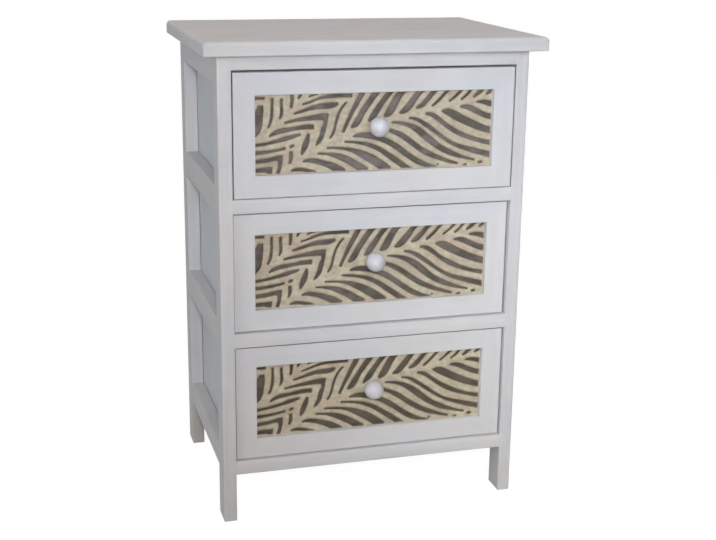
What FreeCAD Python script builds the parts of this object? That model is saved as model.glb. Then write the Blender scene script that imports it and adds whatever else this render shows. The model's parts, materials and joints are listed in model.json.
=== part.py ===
import FreeCAD, Part

import math
import os
import re

import Sketcher
from FreeCAD import Placement, Rotation, Vector

# A small painted chest of three drawers on four legs. X runs to the right, Y to the back and Z up,
# in millimetres. The origin is on the floor, midway between the chest's outer sides and midway
# between the tip of the upper knob and the back of the legs.

SIZES = {
    # Frame of legs and rails
    "frame_width": 366,
    "frame_depth": 272,
    "leg_width": 15.5,
    "leg_depth": 30,
    "corner_rounding": 1.2,
    "foot_height": 60,
    "rail_height": 16.5,
    "upper_opening": 144.5,
    "middle_opening": 142.5,
    "lower_opening": 142,
    "rear_rail_thickness": 12,
    "side_rail_height": 32,
    "side_rail_drop": 19.5,
    "side_top_rail_height": 33,
    "side_bottom_rail_height": 26,
    "side_bottom_rail_rise": 3,
    # Top board
    "top_thickness": 16,
    "side_overhang": 17,
    "front_overhang": 17,
    "top_rounding": 5,
    "top_corner_rounding": 2,
    "top_lower_rounding": 1.5,
    # Thin panels
    "side_panel_thickness": 3,
    "back_panel_thickness": 3,
    "back_panel_recess": 1,
    "back_panel_rabbet": 6,
    # Runners
    "runner_width": 12,
    "runner_height": 17,
    "runner_lift": 0.3,
    # Drawers in their openings
    "drawer_side_gap": 1.2,
    "drawer_bottom_gap": 0.6,
    "drawer_top_gap": 2,
    "drawer_rear_gap": 10,
    "upper_inset": 0,
    "middle_inset": 7,
    "lower_inset": 5,
    # Drawer fronts
    "front_thickness": 16,
    "front_rounding": 1,
    "window_stile": 25.3,
    "window_height": 90,
    "lip_thickness": 6,
    "rebate_margin": 9,
    "fretwork_thickness": 3,
    "fretwork_border": 1,
    "backing_thickness": 3,
    # Drawer boxes
    "drawer_side_thickness": 10,
    "drawer_side_drop": 10,
    "drawer_back_thickness": 10,
    "side_lap": 8,
    "bottom_thickness": 3,
    "bottom_rise": 7,
    "bottom_groove": 5,
    # Knobs
    "knob_diameter": 23,
    "knob_neck_diameter": 11,
    "knob_length": 28,
    "knob_rise": 7.5,
    # Dowels, screws and nails
    "bore_clearance": 0.05,
    "bore_end_gap": 0.5,
    "dowel_diameter": 6,
    "dowel_length": 20,
    "top_screw_diameter": 3.5,
    "top_screw_grip": 11.5,
    "top_screw_inset": 47.5,
    "top_screw_setback": 23,
    "side_screw_inset": 41,
    "runner_screw_diameter": 3.5,
    "runner_screw_length": 24,
    "runner_screw_inset": 40,
    "knob_screw_diameter": 4,
    "knob_screw_length": 22,
    "screw_head_diameter": 8,
    "screw_head_height": 2.4,
    "nail_diameter": 1.4,
    "nail_length": 14,
    "nail_head_diameter": 3,
    "nail_head_height": 0.6,
    "back_nail_inset": 17.5,
    "side_nail_inset": 16,
}

# The leaf pattern was drawn on a window of this size.
DRAWN_WINDOW_WIDTH = 282
DRAWN_WINDOW_HEIGHT = 90

# Corners nearer to a place than this are at that place.
TOUCH = 0.01

# Places on the chest, written in the sizes above.
HALF = "(frame_width / 2)"
INNER = "(frame_width / 2 - leg_width)"
FRONT = "((knob_length - lip_thickness - frame_depth) / 2)"
REAR = f"({FRONT} + frame_depth)"
OPENINGS = "(upper_opening + middle_opening + lower_opening)"
LEG_TOP = f"(foot_height + 4 * rail_height + {OPENINGS})"
BACK_PANEL_FRONT = f"({REAR} - back_panel_recess - back_panel_thickness)"
REAR_RAIL_FRONT = f"({BACK_PANEL_FRONT} - rear_rail_thickness)"
DRAWER_DEPTH = f"({BACK_PANEL_FRONT} - {FRONT} - drawer_rear_gap)"
SIDE_PANEL_FACE = f"({INNER} - side_panel_thickness)"
LEG_MIDDLE = "(frame_width / 2 - leg_width / 2)"
FRONT_LEG_BACK = f"({FRONT} + leg_depth)"
REAR_LEG_FRONT = f"({REAR} - leg_depth)"
LOWER_FLOOR = "(foot_height + rail_height)"
MIDDLE_FLOOR = f"({LOWER_FLOOR} + lower_opening + rail_height)"
UPPER_FLOOR = f"({MIDDLE_FLOOR} + middle_opening + rail_height)"
WINDOW_WIDTH = f"(2 * ({INNER} - drawer_side_gap - window_stile))"
PANEL_WIDTH = f"({WINDOW_WIDTH} + 2 * rebate_margin)"
PANEL_HEIGHT = "(window_height + 2 * rebate_margin)"
DRAWERS = {
    "upper": (UPPER_FLOOR, "upper_opening", "upper_inset"),
    "middle": (MIDDLE_FLOOR, "middle_opening", "middle_inset"),
    "lower": (LOWER_FLOOR, "lower_opening", "lower_inset"),
}

# Leaf slots of the fretwork. Each slot is a list of points along its centre line, given as
# (across, up, width) from the window's centre. Slots that end past the window are trimmed there.
MAIN_FROND_BELOW = [
    [(121.5, 30.0, 0.8), (130.0, 29.8, 4.2), (142.0, 26.4, 5.8)],
    [(102.0, 24.8, 0.9), (110.0, 24.4, 4.6), (121.0, 20.0, 5.8), (142.0, 12.4, 6.8)],
    [(79.5, 20.8, 1.2), (88.0, 19.0, 7.6), (100.0, 12.9, 8.4), (118.0, 4.2, 7.8),
     (142.0, -4.2, 6.8)],
    [(59.8, 18.0, 1.4), (68.0, 16.3, 4.0), (80.0, 7.9, 4.0), (95.0, -2.4, 4.8),
     (118.0, -12.6, 4.2), (142.0, -18.9, 4.4)],
    [(40.0, 13.6, 1.2), (49.0, 12.0, 3.0), (60.0, 5.6, 4.2), (72.0, -3.0, 3.8),
     (90.0, -15.6, 3.4), (115.0, -25.4, 4.8), (142.0, -33.2, 5.8)],
    [(19.0, 9.2, 1.2), (33.0, 7.4, 3.2), (46.0, 2.4, 5.6), (58.0, -6.0, 7.4),
     (72.0, -17.4, 6.4), (90.0, -27.8, 5.6), (106.0, -33.8, 3.2), (121.8, -38.0, 1.4)],
    [(3.0, 5.0, 1.4), (18.0, -0.2, 3.6), (32.0, -6.6, 5.2), (46.0, -16.6, 5.4),
     (60.0, -26.0, 5.6), (76.0, -33.6, 4.6), (100.8, -41.6, 1.6)],
    [(-26.5, -5.4, 1.2), (-12.0, -4.2, 5.8), (4.0, -8.0, 6.0), (20.0, -15.6, 6.0),
     (36.0, -26.8, 5.8), (50.0, -36.2, 5.8), (64.0, -42.6, 4.4), (80.0, -46.4, 2.4)],
    [(-36.5, -11.2, 1.2), (-20.0, -12.8, 2.6), (-8.0, -15.6, 3.8), (6.0, -21.9, 4.8),
     (20.0, -31.4, 5.8), (30.0, -38.4, 6.0), (41.0, -46.6, 6.6)],
    [(-57.0, -17.6, 1.2), (-40.0, -18.6, 2.2), (-28.0, -21.0, 3.8), (-16.0, -26.0, 7.0),
     (0.0, -34.8, 9.2), (15.5, -46.6, 10.0)],
    [(-68.0, -23.6, 1.2), (-56.0, -24.6, 2.6), (-44.0, -27.4, 5.6), (-30.0, -33.8, 7.2),
     (-10.5, -46.6, 9.0)],
    [(-84.8, -32.0, 1.2), (-77.5, -30.9, 3.8), (-66.0, -33.2, 5.0), (-54.0, -37.4, 6.8),
     (-37.5, -46.8, 8.4)],
    [(-98.8, -42.0, 1.4), (-92.5, -40.8, 3.0), (-79.5, -42.6, 3.0), (-61.5, -46.8, 2.4)],
]
MAIN_FROND_ABOVE = [
    [(-53.6, -6.0, 1.4), (-49.8, 0.4, 2.2), (-46.6, 12.6, 2.6), (-42.4, 24.0, 2.4),
     (-34.6, 33.8, 1.4)],
    [(-38.6, 0.0, 3.0), (-33.8, 11.0, 3.4), (-26.4, 26.0, 4.6), (-15.0, 46.5, 5.4)],
    [(-29.0, 5.0, 1.0), (-23.2, 9.6, 6.6), (-16.6, 20.4, 6.4), (-7.4, 34.0, 6.2), (2.6, 47.0, 6.6)],
    [(-9.0, 11.4, 1.0), (-3.4, 17.2, 6.6), (4.0, 28.0, 6.2), (11.4, 38.0, 5.6), (19.4, 47.0, 5.4)],
    [(10.2, 16.4, 2.2), (15.8, 21.0, 7.8), (21.8, 31.0, 8.6), (34.8, 47.0, 7.8)],
    [(28.2, 20.0, 1.4), (34.8, 23.2, 6.4), (42.4, 31.2, 7.2), (56.2, 47.0, 7.0)],
    [(48.6, 25.2, 1.4), (54.4, 27.6, 4.6), (62.8, 35.8, 5.4), (73.4, 46.6, 5.2)],
    [(67.4, 26.8, 1.6), (72.8, 31.0, 2.8), (80.6, 38.6, 2.8), (88.8, 46.6, 3.0)],
    [(88.2, 31.8, 1.4), (95.0, 36.8, 2.2), (105.0, 46.2, 2.8)],
    [(102.6, 33.3, 1.6), (107.8, 37.0, 2.2), (115.6, 46.4, 2.6)],
    [(117.8, 36.2, 1.8), (122.6, 39.4, 3.6), (130.0, 46.4, 3.8)],
    [(133.8, 38.8, 1.6), (137.6, 41.4, 3.2), (142.0, 45.0, 3.4)],
]
UPPER_FROND_RIGHT = [
    [(-78.6, 41.2, 0.8), (-76.0, 42.2, 1.6), (-70.0, 45.0, 2.0)],
    [(-85.6, 33.0, 1.0), (-77.0, 35.4, 1.6), (-66.0, 39.2, 2.4), (-52.0, 41.3, 3.2),
     (-28.6, 41.3, 3.4)],
    [(-95.6, 22.6, 1.2), (-84.0, 25.9, 2.8), (-68.0, 29.9, 4.4), (-52.0, 30.8, 5.6),
     (-44.6, 32.8, 2.6)],
    [(-106.4, 12.6, 1.4), (-100.0, 14.0, 2.0), (-86.0, 16.0, 3.2), (-70.0, 17.8, 5.4),
     (-57.0, 18.2, 6.4)],
    [(-123.8, -2.0, 1.4), (-114.0, 2.8, 4.4), (-98.0, 5.4, 3.6), (-84.0, 7.3, 4.6),
     (-72.8, 7.3, 4.6)],
    [(-142.0, -11.6, 3.4), (-126.0, -10.0, 2.6), (-112.0, -7.0, 3.4), (-99.0, -3.6, 4.0),
     (-88.2, -1.0, 1.6)],
]
UPPER_FROND_LEFT = [
    [(-142.0, 40.8, 2.2), (-129.2, 40.8, 2.2)],
    [(-120.5, 40.2, 2.6), (-120.6, 28.0, 2.8), (-121.8, 17.0, 2.8), (-125.2, 8.2, 1.6)],
    [(-109.8, 39.4, 3.0), (-109.7, 28.0, 3.2), (-110.2, 21.4, 2.8), (-112.0, 17.8, 1.4)],
    [(-98.3, 47.0, 3.0), (-98.0, 36.0, 3.4), (-99.0, 29.8, 2.0)],
    [(-90.6, 39.4, 1.4), (-89.0, 42.0, 2.4), (-87.0, 46.0, 2.6)],
]
CORNER_FROND = [
    [(-142.0, -20.4, 3.2), (-124.0, -19.2, 3.0), (-105.8, -16.0, 1.6)],
    [(-99.2, -20.2, 3.4), (-99.0, -27.0, 3.6), (-101.0, -33.4, 1.6)],
    [(-78.8, -0.9, 2.4), (-80.6, -8.0, 5.6), (-83.4, -15.4, 6.0), (-86.9, -23.8, 1.8)],
    [(-100.4, -15.0, 1.4), (-98.4, -14.0, 2.4), (-96.0, -13.0, 1.4)],
]
DOTS = [
    [(126.4, -41.2, 1.6), (128.8, -41.0, 2.8), (131.4, -40.8, 1.6)],
    [(107.0, -45.0, 1.4), (109.6, -43.9, 2.4), (112.2, -42.8, 1.4)],
]
LEAVES = (MAIN_FROND_BELOW + MAIN_FROND_ABOVE + UPPER_FROND_RIGHT + UPPER_FROND_LEFT
          + CORNER_FROND + DOTS)

# Slots with square corners, given as (across, up) corner points in order.
LEFT_EDGE_SLOT = [(-142.0, 23.0), (-138.6, 28.4), (-136.2, 32.6), (-130.8, 32.6), (-130.6, 26.0),
                  (-131.6, 16.0), (-133.2, 7.0), (-135.8, 1.6), (-139.4, -1.8), (-142.0, -3.0)]
BENT_SLOT = [(-55.8, 21.2), (-57.2, 12.0), (-59.2, 2.0), (-61.8, -6.6), (-65.6, -11.6),
             (-70.4, -14.6), (-69.4, -10.6), (-66.2, -4.0), (-63.8, 6.0), (-60.8, 10.2),
             (-61.4, 15.0), (-66.0, 15.0), (-66.0, 20.6)]
OUTER_CORNER_SLOT = [(-142.0, -28.6), (-126.0, -26.8), (-114.0, -24.4), (-109.0, -24.4),
                     (-109.2, -31.0), (-110.8, -39.0), (-113.4, -47.0), (-117.0, -47.0),
                     (-114.0, -37.0), (-113.4, -31.6), (-115.6, -29.2), (-120.0, -29.6),
                     (-128.0, -31.4), (-142.0, -32.2)]
INNER_CORNER_SLOT = [(-142.0, -38.6), (-127.0, -37.6), (-120.6, -37.4), (-121.0, -42.0),
                     (-122.2, -47.0), (-126.4, -47.0), (-126.2, -43.4), (-130.0, -42.2),
                     (-142.0, -42.2)]
ANGULAR_SLOTS = [LEFT_EDGE_SLOT, BENT_SLOT, OUTER_CORNER_SLOT, INNER_CORNER_SLOT]

ALONG = {
    "+x": Rotation(Vector(0, 1, 0), 90),
    "-x": Rotation(Vector(0, 1, 0), -90),
    "+y": Rotation(Vector(1, 0, 0), -90),
    "-y": Rotation(Vector(1, 0, 0), 90),
    "+z": Rotation(),
}
STEP = {"+x": (1, 0, 0), "-x": (-1, 0, 0), "+y": (0, 1, 0), "-y": (0, -1, 0), "+z": (0, 0, 1)}

doc = FreeCAD.newDocument("drawer_chest")
nodes = {}


def make_sheet():
    """The spreadsheet of driving sizes, one named cell a row."""
    sheet = doc.addObject("Spreadsheet::Sheet", "Sizes")
    for row, (alias, value) in enumerate(SIZES.items(), start=1):
        sheet.set(f"A{row}", alias)
        sheet.set(f"B{row}", str(value))
        sheet.setAlias(f"B{row}", alias)
    doc.recompute()
    return sheet


def sized(expression):
    """The expression with the sheet's name before each of its aliases."""
    def from_sheet(word):
        return f"Sizes.{word.group()}" if word.group() in SIZES else word.group()

    return re.sub(r"[a-z_]+", from_sheet, str(expression))


def bind(thing, **sizes):
    """Tie properties of a feature to expressions in the sheet's sizes."""
    for name, expression in sizes.items():
        thing.setExpression(name, sized(expression))


def place(thing, x, y, z, rotation=None):
    """Turn a feature, then tie its place to expressions."""
    thing.Placement = Placement(Vector(), rotation or Rotation())
    for axis, expression in zip("xyz", (x, y, z)):
        thing.setExpression(f"Placement.Base.{axis}", sized(expression))


def keep(name, thing):
    """Give a finished piece its label and list it for writing out."""
    thing.Label = name
    nodes[name] = thing
    return thing


def box(name, x, y, z):
    """A board between two places along each axis."""
    board = doc.addObject("Part::Box", name)
    bind(board, Length=f"({x[1]}) - ({x[0]})", Width=f"({y[1]}) - ({y[0]})",
         Height=f"({z[1]}) - ({z[0]})")
    place(board, x[0], y[0], z[0])
    return board


def rod(name, diameter, length, start, way):
    """A round rod from a starting place, along one axis."""
    cylinder = doc.addObject("Part::Cylinder", name)
    bind(cylinder, Radius=f"({diameter}) / 2", Height=length)
    place(cylinder, *start, rotation=ALONG[way])
    return cylinder


def moved(start, way, distance):
    """A place moved along one axis by an expression."""
    return tuple(f"({at}) + ({step}) * ({distance})" for at, step in zip(start, STEP[way]))


def joined(name, pieces):
    """Pieces fused into one shape."""
    if len(pieces) == 1:
        return pieces[0]
    fusion = doc.addObject("Part::MultiFuse", name)
    fusion.Shapes = pieces
    return fusion


def cut(name, base, tools):
    """A base with holes, grooves and rebates cut from it."""
    result = doc.addObject("Part::Cut", name)
    result.Base = base
    result.Tool = joined(f"{name}_tools", tools)
    return result


def grouped(name, pieces):
    """Separate solids of one kind, kept as one node."""
    group = doc.addObject("Part::Compound", name)
    group.Links = pieces
    return keep(name, group)


def outward(side, near, far):
    """The span from near to far of the chest's middle, on its left or right side."""
    if side == "left":
        return f"-({far})", f"-({near})"
    return near, far


def mirrored(side, place_across):
    """A place across the chest, on its left or right side."""
    return f"-({place_across})" if side == "left" else place_across


def outer_way(side):
    """The axis that points away from the chest's middle on one side."""
    return "-x" if side == "left" else "+x"


def headed(name, diameter, length, head_diameter, head_height, seat, way):
    """A screw or nail: its head lies behind its seat, and its shank runs ahead of it."""
    shank = rod(f"{name}_shank", diameter, length, seat, way)
    head_start = moved(seat, way, f"-({head_height})")
    head = rod(f"{name}_head", head_diameter, head_height, head_start, way)
    return joined(name, [shank, head])


def bore(name, diameter, length, start, way):
    """The round hole that a rod of this size sits in, with a little room at its end."""
    return rod(name, f"{diameter} + 2 * bore_clearance", f"{length} + bore_end_gap", start, way)


def new_body(name, x, y, z, rotation=None):
    """An empty solid body at its place."""
    body = doc.addObject("PartDesign::Body", name)
    place(body, x, y, z, rotation)
    return body


def new_sketch(body, name, role, offset=None):
    """An empty sketch on one of a body's own planes, or off it along the plane's normal."""
    sketch = body.newObject("Sketcher::SketchObject", name)
    plane = next(item for item in body.Origin.OriginFeatures if item.Role == role)
    sketch.AttachmentSupport = (plane, [""])
    sketch.MapMode = "FlatFace"
    if offset:
        sketch.setExpression("AttachmentOffset.Base.z", sized(offset))
    return sketch


def tie(sketch, name, expression, *constraint):
    """Add a dimension to a sketch, name it and tie it to an expression."""
    index = sketch.addConstraint(Sketcher.Constraint(*constraint))
    sketch.renameConstraint(index, name)
    sketch.setExpression(f"Constraints.{name}", sized(expression))


def add_rectangle(sketch, name, left, bottom, width, height):
    """A rectangle whose near corner is (left, bottom), both zero or more.

    It is drawn at a starting size, and its four dimensions then move it.
    """
    corners = [Vector(10, 10, 0), Vector(50, 10, 0), Vector(50, 40, 0), Vector(10, 40, 0)]
    sides = [Part.LineSegment(corners[i], corners[(i + 1) % 4]) for i in range(4)]
    first = sketch.addGeometry(sides, False)[0]
    for i in range(4):
        after = first + (i + 1) % 4
        sketch.addConstraint(Sketcher.Constraint("Coincident", first + i, 2, after, 1))
    for i in (0, 2):
        sketch.addConstraint(Sketcher.Constraint("Horizontal", first + i))
        sketch.addConstraint(Sketcher.Constraint("Vertical", first + i + 1))
    tie(sketch, f"{name}_left", left, "DistanceX", -1, 1, first, 1, 10)
    tie(sketch, f"{name}_bottom", bottom, "DistanceY", -1, 1, first, 1, 10)
    tie(sketch, f"{name}_width", width, "DistanceX", first, 1, first, 2, 40)
    tie(sketch, f"{name}_height", height, "DistanceY", first + 1, 1, first + 1, 2, 30)


def pad(body, name, sketch, length, reverse=False):
    """A solid grown from a sketch."""
    feature = body.newObject("PartDesign::Pad", name)
    feature.Profile = sketch
    feature.Reversed = reverse
    bind(feature, Length=length)
    return feature


def pocket(body, name, sketch, length, reverse=False):
    """A hollow cut from a sketch, against the sketch's normal unless reversed."""
    feature = body.newObject("PartDesign::Pocket", name)
    feature.Profile = sketch
    feature.Reversed = reverse
    bind(feature, Length=length)
    return feature


def round_edges(body, name, radius, wanted):
    """Fillet the edges of a body's last feature that a test on their two ends picks out."""
    doc.recompute()
    last = body.Tip
    picked = []
    for number, edge in enumerate(last.Shape.Edges, start=1):
        ends = [vertex.Point for vertex in edge.Vertexes]
        if len(ends) == 2 and wanted(*ends):
            picked.append(f"Edge{number}")
    fillet = body.newObject("PartDesign::Fillet", name)
    fillet.Base = (last, picked)
    bind(fillet, Radius=radius)
    return fillet


def make_leg(side, end):
    """A straight leg with its outer corner rounded, and a rabbet for the back panel behind."""
    name = f"{end}_{side}_leg"
    left = outward(side, INNER, HALF)[0]
    front = FRONT if end == "front" else REAR_LEG_FRONT
    body = new_body(f"{name}_blank", left, front, 0)
    section = new_sketch(body, f"{name}_section", "XY_Plane")
    add_rectangle(section, "leg", 0, 0, "leg_width", "leg_depth")
    pad(body, f"{name}_length", section, LEG_TOP)
    doc.recompute()
    outer = 0 if side == "left" else sheet.leg_width
    corner = 0 if end == "front" else sheet.leg_depth

    def is_corner(start, finish):
        at_corner = abs(start.x - outer) < TOUCH and abs(start.y - corner) < TOUCH
        return at_corner and abs(start.x - finish.x) < TOUCH and abs(start.y - finish.y) < TOUCH

    round_edges(body, f"{name}_corner", "corner_rounding", is_corner)
    if end == "rear":
        rabbet = new_sketch(body, f"{name}_rabbet_outline", "XY_Plane", "foot_height")
        left_edge = "leg_width - back_panel_rabbet" if side == "left" else 0
        depth = "back_panel_recess + back_panel_thickness"
        add_rectangle(rabbet, "rabbet", left_edge, f"leg_depth - ({depth})",
                      "back_panel_rabbet", depth)
        pocket(body, f"{name}_rabbet", rabbet, f"{LEG_TOP} - foot_height", reverse=True)
    return body


def make_top():
    """The top board: well rounded along its upper edges, a little at its corners and below."""
    length = "frame_width + 2 * side_overhang"
    depth = "frame_depth + front_overhang"
    body = new_body("top_board_blank", f"-({length}) / 2", f"{FRONT} - front_overhang", LEG_TOP)
    outline = new_sketch(body, "top_board_outline", "XY_Plane")
    add_rectangle(outline, "top", 0, 0, length, depth)
    pad(body, "top_board_thickness", outline, "top_thickness")
    doc.recompute()
    top = sheet.top_thickness
    round_edges(body, "top_board_corners", "top_corner_rounding",
                lambda start, finish: abs(start.z - finish.z) > TOUCH)
    round_edges(body, "top_board_rounding", "min(top_rounding; top_thickness * 0.6)",
                lambda start, finish: abs(start.z - top) < TOUCH and abs(finish.z - top) < TOUCH)
    round_edges(body, "top_board_underside", "top_lower_rounding",
                lambda start, finish: abs(start.z) < TOUCH and abs(finish.z) < TOUCH)
    return body


def front_height(opening):
    """The height of a drawer front in its opening."""
    return f"({opening} - drawer_bottom_gap - drawer_top_gap)"


def make_front(name, floor, opening, inset):
    """A drawer front: a board with a window, rebated behind for the fretwork and its backing."""
    width = f"(2 * ({INNER} - drawer_side_gap))"
    height = front_height(opening)
    side_height = f"{height} - drawer_side_drop"
    window_bottom = f"(({height} - window_height) / 2)"
    body = new_body(name, f"-{width} / 2", f"{FRONT} + {inset}", f"{floor} + drawer_bottom_gap")
    outline = new_sketch(body, f"{name}_outline", "XZ_Plane")
    add_rectangle(outline, "board", 0, 0, width, height)
    add_rectangle(outline, "window", "window_stile", window_bottom, WINDOW_WIDTH, "window_height")
    pad(body, f"{name}_board", outline, "front_thickness", reverse=True)
    rebate = new_sketch(body, f"{name}_rebate_outline", "XZ_Plane", "-front_thickness")
    add_rectangle(rebate, "rebate", "window_stile - rebate_margin",
                  f"{window_bottom} - rebate_margin", PANEL_WIDTH, PANEL_HEIGHT)
    pocket(body, f"{name}_rebate", rebate, "front_thickness - lip_thickness", reverse=True)
    laps = new_sketch(body, f"{name}_laps_outline", "XZ_Plane", "-front_thickness")
    lap_end = "(side_panel_thickness + drawer_side_thickness)"
    add_rectangle(laps, "left_lap", "side_panel_thickness", 0, "drawer_side_thickness", side_height)
    add_rectangle(laps, "right_lap", f"{width} - {lap_end}", 0, "drawer_side_thickness", side_height)
    pocket(body, f"{name}_laps", laps, "side_lap", reverse=True)
    groove = new_sketch(body, f"{name}_groove_outline", "XZ_Plane", "-front_thickness")
    groove_left = f"({lap_end} - bottom_groove)"
    add_rectangle(groove, "groove", groove_left, "bottom_rise", f"{width} - 2 * {groove_left}",
                  "bottom_thickness")
    pocket(body, f"{name}_groove", groove, "bottom_groove", reverse=True)
    round_edges(body, f"{name}_rounding", "front_rounding",
                lambda start, finish: abs(start.y) < TOUCH and abs(finish.y) < TOUCH)
    return keep(name, body)


def make_knob(name, y, z):
    """A turned ball knob on a short neck, bored from behind for its screw."""
    body = new_body(name, 0, y, z, Rotation(Vector(0, 0, 1), 180))
    profile = new_sketch(body, f"{name}_profile", "XY_Plane")
    neck = sheet.knob_neck_diameter / 2
    ball = sheet.knob_diameter / 2
    length = sheet.knob_length
    centre = Vector(0, length - ball, 0)
    rise = math.sqrt(ball ** 2 - neck ** 2)
    meeting = Vector(neck, centre.y - rise, 0)
    start_angle = math.atan2(-rise, neck)
    circle = Part.Circle(centre, Vector(0, 0, 1), ball)
    profile.addGeometry([
        Part.LineSegment(Vector(0, 0, 0), Vector(neck, 0, 0)),
        Part.LineSegment(Vector(neck, 0, 0), meeting),
        Part.ArcOfCircle(circle, start_angle, math.pi / 2),
        Part.LineSegment(Vector(0, length, 0), Vector(0, 0, 0)),
    ], False)
    for constraint in (
        ("Coincident", 0, 1, -1, 1), ("Coincident", 0, 2, 1, 1), ("Coincident", 1, 2, 2, 1),
        ("Coincident", 2, 2, 3, 1), ("Coincident", 3, 2, 0, 1), ("Horizontal", 0),
        ("Vertical", 1), ("Vertical", 3), ("PointOnObject", 2, 3, -2),
    ):
        profile.addConstraint(Sketcher.Constraint(*constraint))
    tie(profile, "neck", "knob_neck_diameter / 2", "DistanceX", 0, 1, 0, 2, neck)
    tie(profile, "ball", "knob_diameter / 2", "Radius", 2, ball)
    tie(profile, "length", "knob_length", "DistanceY", 3, 2, 3, 1, length)
    turned = body.newObject("PartDesign::Revolution", f"{name}_turning")
    turned.Profile = profile
    turned.ReferenceAxis = (profile, ["V_Axis"])
    turned.Angle = 360
    hole = new_sketch(body, f"{name}_hole_outline", "XZ_Plane")
    hole.addGeometry(Part.Circle(Vector(), Vector(0, 0, 1), neck / 2), False)
    hole.addConstraint(Sketcher.Constraint("Coincident", 0, 3, -1, 1))
    tie(hole, "bore", "knob_screw_diameter / 2 + bore_clearance", "Radius", 0, neck / 2)
    through = "(fretwork_thickness + backing_thickness)"
    pocket(body, f"{name}_hole", hole, f"knob_screw_length - {through} + bore_end_gap")
    return keep(name, body)


def smooth_edge(points):
    """One side of a slot: a smooth curve through its points, or a line through two."""
    if len(points) == 2:
        return Part.makeLine(*points)
    curve = Part.BSplineCurve()
    curve.interpolate(points)
    return curve.toShape()


def leaf_outline(leaf, fitted):
    """The outline of a leaf slot: each side lies half the slot's width off its centre line."""
    centres = [Vector(across, 0, up) for across, up, width in leaf]
    near, far = [], []
    for i, (across, up, width) in enumerate(leaf):
        heading = centres[min(i + 1, len(leaf) - 1)] - centres[max(i - 1, 0)]
        heading.normalize()
        aside = Vector(-heading.z, 0, heading.x) * (width / 2)
        near.append(fitted(centres[i] + aside))
        far.append(fitted(centres[i] - aside))
    return [smooth_edge(near), Part.makeLine(near[-1], far[-1]), smooth_edge(far),
            Part.makeLine(far[0], near[0])]


def corner_outline(corners, fitted):
    """The outline of a slot with straight sides."""
    points = [fitted(Vector(across, 0, up)) for across, up in corners]
    return [Part.makeLine(points[i - 1], points[i]) for i in range(len(points))]


def centred_board(width, height, thickness):
    """An upright board about the window's centre, with its front at zero depth."""
    return Part.makeBox(width, thickness, height, Vector(-width / 2, 0, -height / 2))


def fretwork_plate():
    """The panel about the window's centre: a plate pierced by the slots inside its border."""
    width = 2 * (sheet.frame_width / 2 - sheet.leg_width - sheet.drawer_side_gap
                 - sheet.window_stile)
    height = sheet.window_height
    thickness = sheet.fretwork_thickness
    margin = 2 * sheet.rebate_margin
    border = 2 * sheet.fretwork_border

    def fitted(point):
        return Vector(point.x * width / DRAWN_WINDOW_WIDTH, -thickness,
                      point.z * height / DRAWN_WINDOW_HEIGHT)

    outlines = [leaf_outline(leaf, fitted) for leaf in LEAVES]
    outlines += [corner_outline(corners, fitted) for corners in ANGULAR_SLOTS]
    through = Vector(0, 3 * thickness, 0)
    slots = [Part.Face(Part.Wire(Part.__sortEdges__(outline))).extrude(through)
             for outline in outlines]
    field = centred_board(width - border, height - border, thickness)
    plate = centred_board(width + margin, height + margin, thickness)
    return plate.cut(field.common(slots[0].fuse(slots[1:])))


def make_fretwork(name, plate, back, middle, hole):
    """The fretwork panel, with the hole for the knob's screw."""
    panel = doc.addObject("Part::Feature", f"{name}_plate")
    panel.Shape = plate
    place(panel, "0", back, middle)
    return keep(name, cut(name, panel, [hole]))


def make_backing(name, back, middle, hole):
    """The plain board behind the fretwork."""
    board = box(f"{name}_board", (f"-{PANEL_WIDTH} / 2", f"{PANEL_WIDTH} / 2"),
                (back, f"{back} + backing_thickness"),
                (f"{middle} - {PANEL_HEIGHT} / 2", f"{middle} + {PANEL_HEIGHT} / 2"))
    return keep(name, cut(name, board, [hole]))


def make_drawer(level, floor, opening, inset, plate):
    """One drawer: its front, fretwork, backing, box, knob and knob screw."""
    name = f"{level}_drawer"
    face = f"({FRONT} + {inset})"
    bottom = f"({floor} + drawer_bottom_gap)"
    middle = f"({bottom} + {front_height(opening)} / 2)"
    side_top = f"({bottom} + {front_height(opening)} - drawer_side_drop)"
    rear = f"({face} + {DRAWER_DEPTH})"
    outer = f"({SIDE_PANEL_FACE} - drawer_side_gap)"
    inner = f"({outer} - drawer_side_thickness)"
    panel_bottom = f"({bottom} + bottom_rise)"
    panel_top = f"({panel_bottom} + bottom_thickness)"
    make_front(f"{name}_front", floor, opening, inset)

    panel_half = f"({inner} + bottom_groove)"
    panel = box(f"{name}_bottom", (f"-{panel_half}", panel_half),
                (f"{face} + front_thickness - bottom_groove", rear), (panel_bottom, panel_top))
    keep(f"{name}_bottom", panel)
    for side in ("left", "right"):
        board = box(f"{name}_{side}_side_board", outward(side, inner, outer),
                    (f"{face} + front_thickness - side_lap", rear), (bottom, side_top))
        keep(f"{name}_{side}_side", cut(f"{name}_{side}_side", board, [panel]))
    keep(f"{name}_back", box(f"{name}_back", (f"-{inner}", inner),
                             (f"{rear} - drawer_back_thickness", rear), (panel_top, side_top)))

    lip_back = f"({face} + lip_thickness)"
    backing_front = f"({lip_back} + fretwork_thickness)"
    backing_back = f"({backing_front} + backing_thickness)"
    knob_height = f"({middle} + knob_rise)"
    seat = ("0", backing_back, knob_height)
    hole = bore(f"{name}_knob_bore", "knob_screw_diameter", "knob_screw_length", seat, "-y")
    make_fretwork(f"{name}_fretwork", plate, lip_back, middle, hole)
    make_backing(f"{name}_backing", backing_front, middle, hole)
    make_knob(f"{name}_knob", lip_back, knob_height)
    screw = headed(f"{name}_knob_screw", "knob_screw_diameter", "knob_screw_length",
                   "screw_head_diameter", "screw_head_height", seat, "-y")
    keep(f"{name}_knob_screw", screw)


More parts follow.
